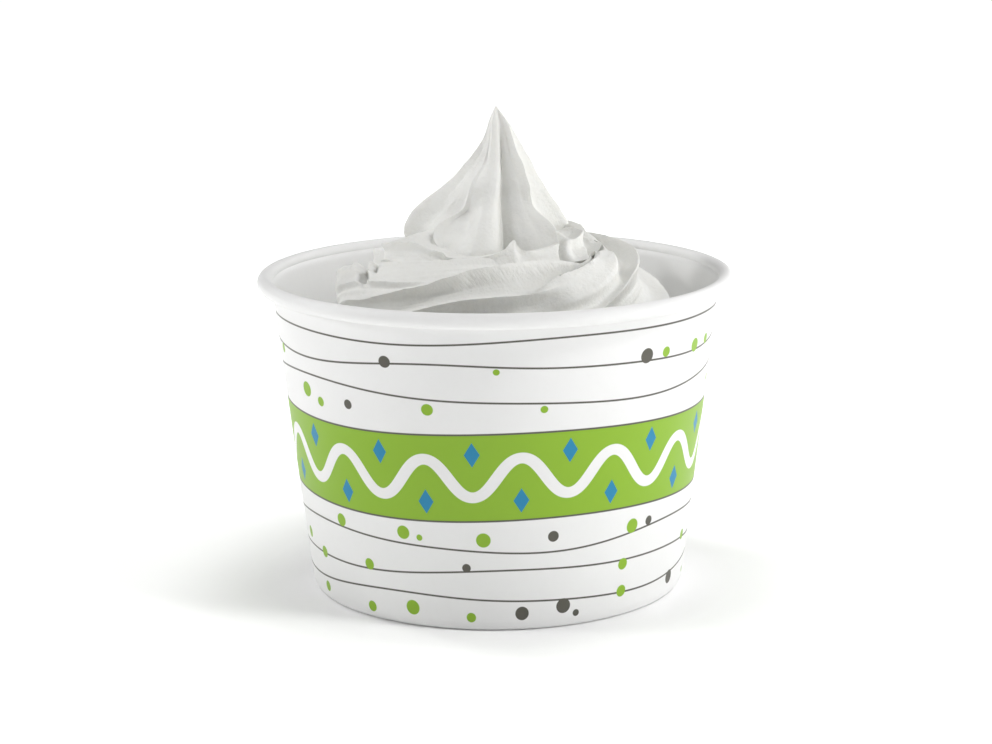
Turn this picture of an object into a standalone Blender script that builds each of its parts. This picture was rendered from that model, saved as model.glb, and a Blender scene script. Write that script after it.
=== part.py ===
"""Frozen yogurt cup: a paper tub with a rolled rim and a recessed base,
filled with a tall soft-serve swirl.

Blender 4.5.  Metres, +Z up.  The origin is the centre of the foot ring, on
the surface that the cup stands on; -Y is the front.
"""
import bpy
import bmesh
import math
import numpy as np

MM = 0.001

# ---------------------------------------------------------------- cup, mm
RIM_ROLL_R = 1.55            # radius of the rolled rim's tube
RIM_OUTER_R = 49.0           # half of the diameter over the rim
RIM_MID_Z = 63.75            # height of the middle of the roll
FOOT_R = 38.65               # outer radius where the wall meets the table
NECK_R = 45.9                # outer radius just under the rim
WALL_T = 0.55                # paper board of the side wall
HEM_T = 0.55                 # the wall's lower edge, folded up inside
HEM_H = 6.2                  # height of the folded edge
BASE_T = 0.6                 # board of the base
SKIRT_H = 5.6                # down-turned skirt of the base
SEGMENTS = 96                # facets around every turned piece
CLEAR = 0.3                  # clearance between pieces that touch

# ------------------------------------------------------------- yogurt, mm
TIP_Z = 99.0                 # height of the peak over the table
FILL_Z = 39.0                # level of the yogurt under the coils
# The star nozzle's points, as angles round the cord.
RIDGE_ANGLES = (-90, -29, 6, 33, 78, 133, 178, 224)    # degrees
FLUTE_DEPTHS = (0.36, 0.34, 0.26, 0.28, 0.32, 0.30, 0.30, 0.30)
VOXEL = 0.8                  # grain at which the coils melt together
YOGURT_FACES = 4900          # triangles of the finished yogurt

# A coil is a ridged cord laid round the cup's axis.  Its knots are
# (azimuth in degrees, ring radius, height, cord radius, turn of the cord).
COIL_LOW = ((-250, 28.0, 40.0, 13.5, -170), (-120, 29.5, 41.0, 13.5, -20),
            (0, 30.0, 42.0, 13.5, 90), (120, 28.5, 44.5, 13.0, 200))
COIL_MID = ((-235, 18.0, 60.0, 11.5, -115), (-200, 21.1, 59.7, 12.4, -77),
            (-175, 21.6, 58.8, 12.6, -41), (-140, 21.8, 58.2, 12.6, -5),
            (-90, 22.2, 59.1, 12.6, 28), (-50, 22.4, 58.2, 12.6, 50),
            (-20, 23.3, 58.2, 12.6, 84), (10, 23.2, 58.2, 12.6, 99),
            (40, 22.0, 58.4, 12.6, 120), (80, 19.5, 59.5, 12.6, 160),
            (118, 17.0, 60.0, 12.4, 200))
COIL_TOP = ((-215, 14.0, 61.5, 9.2, 20), (-180, 15.0, 62.4, 9.8, 24),
            (-150, 14.2, 64.6, 10.0, 20), (-120, 12.9, 65.3, 9.7, 4),
            (-90, 12.6, 65.6, 9.6, 8), (-60, 12.9, 65.7, 9.6, 15),
            (-30, 13.7, 64.9, 10.0, 22), (0, 14.2, 64.2, 10.2, 50),
            (40, 13.9, 64.4, 10.1, 90), (100, 12.8, 64.5, 10.0, 150),
            (170, 12.0, 63.5, 10.0, 220), (235, 10.0, 61.5, 9.0, 290))
# How single ridges wander along a coil: for a ridge's number, its angle, its
# height and the depth of the flute after it, each as (azimuth, value).
MID_ANGLES = {
    2: ((-140, 6), (-102, 7), (-81.5, 0), (-70.5, 1.2), (-58.5, 8.2),
        (-45, 13.2), (-19, 5), (10, 6)),
    3: ((-180, 35), (-142, 30), (-116, 33), (-100, 40), (-74, 44.3),
        (-65, 42.4), (-45, 23.5), (-9, 21), (30, 33)),
}
MID_TOPS = {
    3: ((-200, 0.84), (-175, 0.85), (-158, 0.93), (-145, 0.99), (40, 1)),
    5: ((-220, 0.86), (-175, 0.80), (-150, 0.82), (-110, 0.95)),
}
MID_CUTS = {
    1: ((-120, 0.20), (-90, 0.18), (-60, 0.08), (-30, 0.14), (0, 0.34)),
    2: ((-180, 0.16), (-110, 0.25), (-60, 0.30), (-36, 0.30), (0, 0.26)),
    3: ((-200, 0.0), (-140, 0.04), (-90, 0.16), (0, 0.30)),
}
TOP_ANGLES = {
    3: ((-215, 25), (-180, 21), (-149, 33), (-120, 36), (-101, 33), (-90, 35),
        (-78, 46), (-74, 36), (-60, 31), (-30, 33), (0, 33)),
}
TOP_TOPS = {
    3: ((-215, 1.15), (-180, 1.2), (-149, 1.03), (-120, 0.92), (-90, 0.93),
        (-78, 1.07), (-74, 0.94), (-56, 0.92), (-35, 1.03), (20, 1.0)),
    4: ((-215, 1.0), (-165, 1.12), (-135, 0.78), (-100, 0.55), (-52, 0.5),
        (-36, 1.0), (0, 1.0)),
}
TOP_CUTS = {
    2: ((-200, 0.20), (-120, 0.10), (-60, 0.10), (20, 0.30)),
    3: ((-200, 0.10), (-10, 0.10), (20, 0.30)),
}
CORE = ((24, 36), (24, 51), (20, 58), (13, 66), (8, 70))   # (radius, height) inside

# The peak: heights, and for each crest its azimuth and its radius at them.
PEAK_LEVELS = (99.2, 96, 93, 90, 88, 86.5, 85, 83.5, 81.5, 80, 79, 78, 77.3,
               76, 74.5, 73, 71, 69, 66)
PEAK_CRESTS = (
    (-131, (0, 1.8, 2.6, 3.5, 4.4, 5.8, 7.4, 8.4, 8.8, 8.9, 9.1, 10.0,
            11.4, 14.3, 16.1, 17.0, 16.7, 15.2, 12)),
    (-47, (0, 3.2, 4.4, 5.7, 7.2, 8.0, 8.7, 9.3, 9.6, 9.9, 10.8, 12.6,
           14.2, 16.3, 17.1, 17.2, 16.4, 14.5, 11)),
    (8, (0, 2.3, 3.9, 5.5, 6.7, 7.5, 8.2, 9.0, 10.2, 11.2, 11.9, 12.6,
         13.0, 13.8, 14.6, 14.6, 13.6, 12, 10)),
    (62, (0, 2.2, 3.8, 5.4, 6.4, 7.2, 8.0, 8.9, 10.0, 11.0, 11.8, 12.8,
          13.4, 14.8, 15.5, 15.4, 14.4, 12.5, 11)),
    (118, (0, 2.0, 3.4, 5.2, 6.4, 7.3, 8.4, 9.6, 11.0, 12.2, 13.2, 14.2,
           14.8, 15.8, 16.8, 17.0, 15.8, 13.5, 11)),
    (176, (0, 1.5, 2.7, 4.5, 6.2, 7.4, 8.7, 10.3, 13.0, 15.0, 16.2, 17.3,
           17.9, 18.8, 19.5, 19.6, 18.2, 15, 12)),
)
PEAK_FLUTE = (0.50, 0.40, 0.40, 0.40, 0.42, 0.24)   # depth of each flute
PEAK_CENTRE = (0.8, -0.5)
# How the first crest swings round as it runs down: (height, azimuth).
CREST_TURN = ((66, -131), (70, -131), (71.3, -134), (72.8, -138), (74.2, -143),
              (75.4, -147), (76.4, -149), (77.3, -148), (78, -144.5), (79, -140),
              (80, -137), (81.5, -133.5), (83.5, -131.5), (85, -131), (99.2, -131))
# Its front flute: heights, the radius of the roll in it, how far the face
# drops behind the left lip, how deep it is dished between that lip and the
# roll, and how far the crease shifts.
FRONT_LEVELS = (99.2, 96, 93, 90, 88, 86.5, 85, 83.5, 81.5, 80, 78, 76, 74.5,
                73, 71, 69, 66)
FRONT_ROLL = (0, 2.2, 3.0, 4.0, 4.8, 5.8, 6.9, 7.7, 8.3, 9.0, 10.6, 12.6,
              14.1, 15.4, 16.7, 16.9, 14.5)
FRONT_LIP = (0, 0.14, 0.26, 0.36, 0.40, 0.40, 0.38, 0.36, 0.34, 0.36, 1.0, 2.0,
             2.0, 1.3, 0.7, 0.3, 0)
FRONT_DISH = (0, 0, 0, 0, 0, 0, 0, 0, 0.05, 0.2, 1.0, 2.5,
              2.7, 1.5, 0.4, 0, 0)
FRONT_SHIFT = (0.16, 0.15, 0.13, 0.11, 0.09, 0.08, 0.07, 0.05, 0.03, 0.01, 0, 0,
               0, 0, 0, 0, 0)
ROLL_AT = -110.0                  # azimuth where the roll begins


# ------------------------------------------------------------------ tools
def new_collection(name):
    col = bpy.data.collections.new(name)
    bpy.context.scene.collection.children.link(col)
    return col


def material(name, colour, roughness, metallic=0.0, subsurface=0.0):
    mat = bpy.data.materials.new(name)
    mat.use_nodes = True
    bsdf = mat.node_tree.nodes["Principled BSDF"]
    bsdf.inputs["Base Color"].default_value = (*colour, 1.0)
    bsdf.inputs["Roughness"].default_value = roughness
    bsdf.inputs["Metallic"].default_value = metallic
    bsdf.inputs["Subsurface Weight"].default_value = subsurface
    return mat


def turned(name, profile, collection, mat):
    """A closed profile of (radius, height) in mm, turned round the Z axis.
    The profile starts at the top and runs down its outer side."""
    mesh = bpy.data.meshes.new(name)
    pts = [(r * MM, 0.0, z * MM) for r, z in profile]
    edges = [(i, (i + 1) % len(pts)) for i in range(len(pts))]
    mesh.from_pydata(pts, edges, [])
    obj = bpy.data.objects.new(name, mesh)
    collection.objects.link(obj)
    screw = obj.modifiers.new("Turn", "SCREW")
    screw.axis = "Z"
    screw.angle = 2 * math.pi
    screw.steps = SEGMENTS
    screw.render_steps = SEGMENTS
    screw.use_merge_vertices = True
    screw.merge_threshold = 0.00002
    screw.use_smooth_shade = True
    obj.data.materials.append(mat)
    return obj


def wall_outer(z):
    """Outer radius of the side wall at height z (mm)."""
    return FOOT_R + (NECK_R - FOOT_R) * z / (RIM_MID_Z - 1.0)


def curve(x, knots):
    """Smooth values at x through knots of (position, value, ...)."""
    k = np.array(knots, float)
    pos, val = k[:, 0], k[:, 1:]
    d = (val[1:] - val[:-1]) / (pos[1:] - pos[:-1])[:, None]
    m = np.zeros_like(val)
    m[0], m[-1] = d[0], d[-1]
    mid = 0.5 * (d[1:] + d[:-1])
    lim = 3 * np.minimum(np.abs(d[1:]), np.abs(d[:-1]))
    mid = np.sign(mid) * np.minimum(np.abs(mid), lim)
    m[1:-1] = np.where(d[1:] * d[:-1] <= 0, 0, mid)
    x = np.clip(np.atleast_1d(np.asarray(x, float)), pos[0], pos[-1])
    i = np.clip(np.searchsorted(pos, x, side="right") - 1, 0, len(pos) - 2)
    h = (pos[i + 1] - pos[i])[:, None]
    t = (x - pos[i])[:, None] / h
    return ((2 * t ** 3 - 3 * t ** 2 + 1) * val[i]
            + (t ** 3 - 2 * t ** 2 + t) * h * m[i]
            + (-2 * t ** 3 + 3 * t ** 2) * val[i + 1]
            + (t ** 3 - t ** 2) * h * m[i + 1])


def ramp(a, b, x):
    """0 at a, 1 at b, smooth between them."""
    t = min(max((x - a) / (b - a), 0.0), 1.0)
    return t * t * (3 - 2 * t)


def flute(w):
    """Depth of a flute: 0 on the crest (w = 0), 1 along its middle (w = 1)."""
    return np.interp(w, (0, 0.05, 0.18, 0.40, 0.70, 1.0),
                     (0, 0.16, 0.50, 0.80, 0.96, 1.0))


def loft(name, sections, collection):
    """A closed body through rings of points, capped at both ends."""
    rings, around = sections.shape[0], sections.shape[1]
    bm = bmesh.new()
    verts = [[bm.verts.new(p) for p in ring] for ring in sections]
    for i in range(rings - 1):
        for j in range(around):
            k = (j + 1) % around
            bm.faces.new((verts[i][j], verts[i][k],
                          verts[i + 1][k], verts[i + 1][j]))
    bm.faces.new(verts[0][::-1])
    bm.faces.new(verts[-1])
    bmesh.ops.recalc_face_normals(bm, faces=bm.faces)
    mesh = bpy.data.meshes.new(name)
    bm.to_mesh(mesh)
    bm.free()
    obj = bpy.data.objects.new(name, mesh)
    collection.objects.link(obj)
    return obj


def join(objects, name):
    """Put the meshes of several objects into the first of them."""
    bm = bmesh.new()
    for obj in objects:
        bm.from_mesh(obj.data)
    mesh = bpy.data.meshes.new(name)
    bm.to_mesh(mesh)
    bm.free()
    keep = objects[0]
    keep.data = mesh
    keep.name = name
    for obj in objects[1:]:
        bpy.data.objects.remove(obj)
    return keep


# ---------------------------------------------------------------- swirl
def coil(name, knots, start, end, collection, angles=None, tops=None,
         cuts=None):
    """A cord with the nozzle's ridges, laid round the axis.  It rounds off
    over start and end degrees of azimuth at its two ends."""
    base = np.array(RIDGE_ANGLES, float)
    count = len(base)
    share = [max(6, int(round(144 * ((base[(i + 1) % count] - base[i]) % 360)
                              / 360))) for i in range(count)]
    i = np.repeat(np.arange(count), share)
    u = np.concatenate([np.linspace(0, 1, n, endpoint=False) for n in share])
    g = flute(1 - np.abs(2 * u - 1))
    first, last = knots[0][0], knots[-1][0]
    up = np.array((0.0, 0.0, 1.0))

    def at(az, values, table):
        out = np.array(values, float)
        for ridge, steps in (table or {}).items():
            out[ridge] = curve(az, steps)[0, 0]
        return out

    rings = []
    for az in np.arange(first, last + 0.01, 1.5):
        ring_r, height, cord_r, turn = curve(az, knots)[0]
        p = at(az, base, angles)
        h = at(az, [1.0] * count, tops)
        deep = at(az, FLUTE_DEPTHS, cuts)
        after = np.append(p[1:], p[0] + 360)
        top = h[i] * (1 - u) + np.roll(h, -1)[i] * u
        star = top * (1 - deep[i] * g)
        near = min((az - first) / start, (last - az) / end, 1.0)
        taper = max(math.sqrt(max(0.0, 1 - (1 - near) ** 2)), 0.03)
        a = math.radians(az)
        out = np.array((math.cos(a), math.sin(a), 0.0))
        ang = np.radians(p[i] * (1 - u) + after[i] * u + turn)
        r = cord_r * taper * star
        rings.append(out * ring_r + up * height
                     + r[:, None] * (np.cos(ang)[:, None] * out
                                     + np.sin(ang)[:, None] * up))
    return loft(name, np.array(rings) * MM, collection)


def front_face(theta, z, edge, left_at, left_r):
    """Radius across the front flute: a thin lip, a dished flank, a broad roll,
    and one tight crease from which the other side rises slowly."""
    knots = sorted(zip(FRONT_LEVELS, FRONT_ROLL, FRONT_LIP, FRONT_DISH, FRONT_SHIFT))
    roll, drop, dish, shift = curve(z, knots)[0]
    low = ramp(82, 74, z)
    u = np.clip((theta + 131) / 84, 0, 1)
    u = u - shift * np.sin(math.pi * u)
    right = roll * np.interp(u, (0, 0.25, 0.355, 0.43, 0.475, 0.51, 0.538,
                                 0.556, 0.62, 0.72, 0.84, 0.93, 1),
                             (1, 1, 0.965, 0.90, 0.79 + 0.04 * low,
                              0.65 + 0.05 * low, 0.555, 0.54, 0.61, 0.78,
                              0.92, 0.99, 1.02))
    right = np.where(u > 0.6, np.minimum(right, edge * 0.985), right)
    t = np.clip((theta - left_at) / (ROLL_AT - left_at), 0, 1)
    start = left_r - drop
    left = start + (roll - start) * t * t * (3 - 2 * t) - dish * np.sin(math.pi * t)
    inner = np.where(theta < ROLL_AT, left, right)
    lip = (np.clip(1 - (theta - left_at) * left_r / 38, 0, 1) ** 1.4
           + np.clip(1 - (-47 - theta) / 8.4, 0, 1) ** 1.5)
    return edge * lip + inner * (1 - lip)


def peak_radius(theta, z):
    """Radius of the peak at height z for azimuths theta (degrees)."""
    az = np.array([c[0] for c in PEAK_CRESTS], float)
    az[0] = curve(z, CREST_TURN)[0, 0]
    knots = [[lev] + [c[1][i] for c in PEAK_CRESTS]
             for i, lev in enumerate(PEAK_LEVELS)][::-1]
    crest = curve(z, knots)[0]
    x = (theta - az[0]) % 360 + az[0]
    az_w, cr_w = np.append(az, az[0] + 360), np.append(crest, crest[0])
    i = np.clip(np.searchsorted(az_w, x, side="right") - 1, 0, len(az) - 1)
    u = (x - az_w[i]) / (az_w[i + 1] - az_w[i])
    edge = cr_w[i] * (1 - u) + cr_w[i + 1] * u
    deep = np.array(PEAK_FLUTE)[i]
    g = flute(1 - np.abs(2 * u - 1))
    front = front_face(x, z, edge, az[0], crest[0])
    return np.where(i == 0, front, edge * (1 - deep * g))


def peak(name, collection):
    """The last dollop, drawn up to a point."""
    theta = np.linspace(-180, 180, 360, endpoint=False)
    a = np.radians(theta)
    rings = []
    for z in np.concatenate((np.arange(66, TIP_Z, 0.4), [TIP_Z])):
        r = np.maximum(peak_radius(theta, z), 0.35)
        lift = 0.6 * ramp(94, TIP_Z, z)
        rings.append(np.stack((PEAK_CENTRE[0] + r * np.cos(a),
                               PEAK_CENTRE[1] + r * np.sin(a),
                               np.full_like(r, z + lift)), -1))
    return loft(name, np.array(rings) * MM, collection)


def drop_crumbs(mesh, least):
    """Remove loose shells of fewer than `least` vertices."""
    bm = bmesh.new()
    bm.from_mesh(mesh)
    seen, doomed = set(), []
    for start in bm.verts:
        if start in seen:
            continue
        seen.add(start)
        shell, queue = [], [start]
        while queue:
            vert = queue.pop()
            shell.append(vert)
            for edge in vert.link_edges:
                other = edge.other_vert(vert)
                if other not in seen:
                    seen.add(other)
                    queue.append(other)
        if len(shell) < least:
            doomed += shell
    bmesh.ops.delete(bm, geom=doomed, context="VERTS")
    bm.to_mesh(mesh)
    bm.free()


# ------------------------------------------------------------------ build
for old in list(bpy.data.objects):
    bpy.data.objects.remove(old, do_unlink=True)

parts = new_collection("frozen_yogurt_cup")

paper = material("paper_board", (0.84, 0.84, 0.83), 0.55)
board = material("base_board", (0.82, 0.81, 0.79), 0.6)
cream = material("soft_serve", (0.80, 0.79, 0.75), 0.5, subsurface=0.1)

# ---- side wall: rolled rim, conical wall, lower edge folded up inside.
roll_mid_r = RIM_OUTER_R - RIM_ROLL_R
wall_top_z = RIM_MID_Z - 1.0
roll = [(roll_mid_r + RIM_ROLL_R * math.cos(math.radians(a)),
         RIM_MID_Z + RIM_ROLL_R * math.sin(math.radians(a)))
        for a in range(150, -151, -30)]
hem_out = wall_outer(HEM_H) - WALL_T - BASE_T - 2 * CLEAR
hem_low = FOOT_R - WALL_T - BASE_T - 2 * CLEAR
profile = roll + [
    (wall_outer(wall_top_z), wall_top_z - 0.6),
    (wall_outer(1.0), 1.0),
    (FOOT_R - 0.15, 0.0),
    (hem_low - HEM_T + 0.1, 0.0),
    (hem_low - HEM_T, 0.6),
    (hem_out - HEM_T, HEM_H),
    (hem_out, HEM_H),
    (hem_low + 0.05, 0.7),
    (FOOT_R - WALL_T, 0.7),
    (wall_outer(wall_top_z) - WALL_T, wall_top_z),
]
side = turned("cup_side", profile, parts, paper)

# ---- base: a disc with its skirt turned down between wall and hem.
base_z = HEM_H + CLEAR
skirt_out = wall_outer(base_z) - WALL_T - CLEAR
skirt_low_z = base_z + BASE_T - SKIRT_H
skirt_low = wall_outer(skirt_low_z) - WALL_T - CLEAR
base_profile = [
    (0.0, base_z + BASE_T),
    (skirt_out - 0.2, base_z + BASE_T),
    (skirt_out, base_z + BASE_T - 0.3),
    (skirt_low, skirt_low_z),
    (skirt_low - BASE_T, skirt_low_z),
    (skirt_out - BASE_T - 0.05, base_z),
    (0.0, base_z),
]
base = turned("cup_base", base_profile, parts, board)

# ---- yogurt: the fill, the coils and the peak, melted into one.
floor_z = base_z + BASE_T + CLEAR


def inside_r(z):
    """Largest radius of the yogurt at height z: the wall less a clearance."""
    return wall_outer(z) - WALL_T - CLEAR


levels = np.linspace(floor_z, FILL_Z, 12)
ring_a = np.linspace(0, 2 * math.pi, SEGMENTS, endpoint=False)
fill = loft("fill", np.array([np.stack(
    ((inside_r(z) - 0.2) * np.cos(ring_a), (inside_r(z) - 0.2) * np.sin(ring_a),
     np.full_like(ring_a, z)), -1) for z in levels]) * MM, parts)
pieces = [
    fill,
    loft("core", np.array([np.stack((r * np.cos(ring_a), r * np.sin(ring_a),
                                     np.full_like(ring_a, z)), -1)
                           for r, z in CORE]) * MM, parts),
    coil("coil_low", COIL_LOW, 30, 40, parts),
    coil("coil_mid", COIL_MID, 25, 30, parts, MID_ANGLES, MID_TOPS, MID_CUTS),
    coil("coil_top", COIL_TOP, 20, 40, parts, TOP_ANGLES, TOP_TOPS, TOP_CUTS),
    peak("peak", parts),
]
yogurt = join(pieces, "yogurt")
melt = yogurt.modifiers.new("Melt", "REMESH")
melt.mode = "VOXEL"
melt.voxel_size = VOXEL * MM
soft = yogurt.modifiers.new("Soften", "SMOOTH")
soft.factor = 0.5
soft.iterations = 1
view = bpy.context.evaluated_depsgraph_get()
fine = yogurt.evaluated_get(view)
ratio = YOGURT_FACES / (2.0 * len(fine.data.polygons))
thin = yogurt.modifiers.new("Thin", "DECIMATE")
thin.ratio = ratio
thin.use_collapse_triangulate = True
view = bpy.context.evaluated_depsgraph_get()
mesh = bpy.data.meshes.new_from_object(yogurt.evaluated_get(view))
yogurt.modifiers.clear()
yogurt.data = mesh
drop_crumbs(mesh, 12)
for v in mesh.vertices:
    x, y, z = (c / MM for c in v.co)
    z = max(z, floor_z)
    if z < RIM_MID_Z:
        r, most = math.hypot(x, y), inside_r(z)
        if r > most:
            x, y = x * most / r, y * most / r
    v.co = (x * MM, y * MM, z * MM)
mesh.materials.clear()
mesh.materials.append(cream)
mesh.shade_smooth()
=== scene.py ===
"""Looks of the frozen yogurt cup: the paper tub with its rolled rim and
printed wall, the base, and the soft-serve swirl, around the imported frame.

Blender 4.5.  Metres, +Z up, -Y is the front.
"""

import math

import bmesh
import bpy
import numpy as np
from mathutils import Matrix, Vector


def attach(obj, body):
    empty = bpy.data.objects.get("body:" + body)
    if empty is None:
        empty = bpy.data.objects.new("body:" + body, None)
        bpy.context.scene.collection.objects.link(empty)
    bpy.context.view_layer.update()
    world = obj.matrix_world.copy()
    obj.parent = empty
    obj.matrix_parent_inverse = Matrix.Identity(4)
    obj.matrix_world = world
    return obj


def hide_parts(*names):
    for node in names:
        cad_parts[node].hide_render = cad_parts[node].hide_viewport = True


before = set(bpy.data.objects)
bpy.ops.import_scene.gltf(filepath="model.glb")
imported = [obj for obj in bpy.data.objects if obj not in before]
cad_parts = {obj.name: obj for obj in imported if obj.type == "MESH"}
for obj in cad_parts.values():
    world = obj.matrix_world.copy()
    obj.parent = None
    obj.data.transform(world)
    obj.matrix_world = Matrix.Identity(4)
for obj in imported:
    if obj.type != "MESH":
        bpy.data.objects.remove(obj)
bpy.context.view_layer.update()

MM = 0.001

# ---------------------------------------------------------------- cup, mm
RIM_R = 49.0                 # outer radius over the rolled rim
ROLL_R = 1.55                # radius of the roll
RIM_MID_Z = 63.75            # height of the middle of the roll
FOOT_R = 38.65               # outer radius at the foot
NECK_R = 45.9                # outer radius under the roll
BOARD = 0.5                  # thickness of the paper board
HEM_H = 6.2                  # height of the edge folded up inside the foot
SEAM = 90.0                  # azimuth of the glued seam, at the back
AROUND = 432                 # points around the cup

# -------------------------------------------------------------- swirl, mm
TIP_Z = 98.9
FILL_Z = 39.0
FLOOR_Z = 7.4
WALL_GAP = 0.08              # between the yogurt and the board
# points of the star nozzle, as angles round the cord
POINTS = (-90, -29, 6, 33, 78, 133, 178, 224)


# ================================================================ numbers
def ramp(a, b, x):
    """0 at a, 1 at b, smooth between them."""
    t = np.clip((np.asarray(x, float) - a) / (b - a), 0.0, 1.0)
    return t * t * (3 - 2 * t)


def bump(x, mid, width):
    """1 at mid, falling smoothly to 0 at a distance of width."""
    t = np.clip(1 - np.abs((np.asarray(x, float) - mid) / width), 0.0, 1.0)
    return t * t * (3 - 2 * t)


def curve(x, knots):
    """Smooth values at x through knots of (position, value, ...)."""
    k = np.array(knots, float)
    pos, val = k[:, 0], k[:, 1:]
    d = (val[1:] - val[:-1]) / (pos[1:] - pos[:-1])[:, None]
    m = np.zeros_like(val)
    m[0], m[-1] = d[0], d[-1]
    mid = 0.5 * (d[1:] + d[:-1])
    lim = 3 * np.minimum(np.abs(d[1:]), np.abs(d[:-1]))
    mid = np.sign(mid) * np.minimum(np.abs(mid), lim)
    m[1:-1] = np.where(d[1:] * d[:-1] <= 0, 0, mid)
    x = np.clip(np.atleast_1d(np.asarray(x, float)), pos[0], pos[-1])
    i = np.clip(np.searchsorted(pos, x, side="right") - 1, 0, len(pos) - 2)
    h = (pos[i + 1] - pos[i])[:, None]
    t = (x - pos[i])[:, None] / h
    return ((2 * t ** 3 - 3 * t ** 2 + 1) * val[i]
            + (t ** 3 - 2 * t ** 2 + t) * h * m[i]
            + (-2 * t ** 3 + 3 * t ** 2) * val[i + 1]
            + (t ** 3 - t ** 2) * h * m[i + 1])


def noise2(x, y, seed, period=0):
    """Smooth random values from -1 to 1.  x repeats after period cells."""
    n = 256
    grid = np.random.default_rng(seed).uniform(-1, 1, (n, n))
    xi, yi = np.floor(x).astype(int), np.floor(y).astype(int)
    fx, fy = x - xi, y - yi
    fx, fy = fx ** 3 * (fx * (6 * fx - 15) + 10), fy ** 3 * (fy * (6 * fy - 15) + 10)
    px = period if period else n
    a = grid[(xi % px) % n, yi % n]
    b = grid[((xi + 1) % px) % n, yi % n]
    c = grid[(xi % px) % n, (yi + 1) % n]
    d = grid[((xi + 1) % px) % n, (yi + 1) % n]
    return (a * (1 - fx) + b * fx) * (1 - fy) + (c * (1 - fx) + d * fx) * fy


def wall_outer(z):
    """Outer radius of the cup's wall at height z (mm)."""
    return FOOT_R + (NECK_R - FOOT_R) * z / (RIM_MID_Z - 1.0)


# ================================================================= meshes
def link(name, mesh):
    obj = bpy.data.objects.new(name, mesh)
    bpy.context.scene.collection.objects.link(obj)
    return obj


def grid_mesh(name, pts, wrap_rows=False, cap=False):
    """A mesh over rows of points; each row closes on itself."""
    rows, around = pts.shape[0], pts.shape[1]
    i = np.arange(rows if wrap_rows else rows - 1)[:, None]
    j = np.arange(around)[None, :]
    i2, j2 = (i + 1) % rows, (j + 1) % around
    quads = np.stack((i * around + j, i * around + j2,
                      i2 * around + j2, i2 * around + j), -1).reshape(-1, 4)
    faces = quads.tolist()
    if cap:
        faces.append(list(range(around))[::-1])
        faces.append([(rows - 1) * around + k for k in range(around)])
    mesh = bpy.data.meshes.new(name)
    mesh.from_pydata((pts.reshape(-1, 3) * MM).tolist(), [], faces)
    bm = bmesh.new()
    bm.from_mesh(mesh)
    bmesh.ops.recalc_face_normals(bm, faces=bm.faces)
    bm.to_mesh(mesh)
    bm.free()
    return link(name, mesh)


def sheet_outline(line, thick):
    """A closed outline around a line of (radius, height): a bent board."""
    p = np.array(line, float)
    d = np.gradient(p, axis=0)
    d /= np.linalg.norm(d, axis=1)[:, None]
    side = np.stack((d[:, 1], -d[:, 0]), -1) * thick / 2
    a, b = p + side, p - side
    tip = 0.35 * thick
    end = p[-1] + d[-1] * tip
    start = p[0] - d[0] * tip
    return np.concatenate((a, [end + side[-1] * 0.4, end - side[-1] * 0.4],
                           b[::-1], [start - side[0] * 0.4, start + side[0] * 0.4]))


def fine_line(points, step):
    """Evenly spaced points on a smooth line through the given ones."""
    p = np.array(points, float)
    s = np.concatenate(([0], np.cumsum(np.linalg.norm(np.diff(p, axis=0), axis=1))))
    t = np.linspace(0, s[-1], max(2, int(round(s[-1] / step)) + 1))
    return curve(t, np.column_stack((s, p)))


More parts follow.
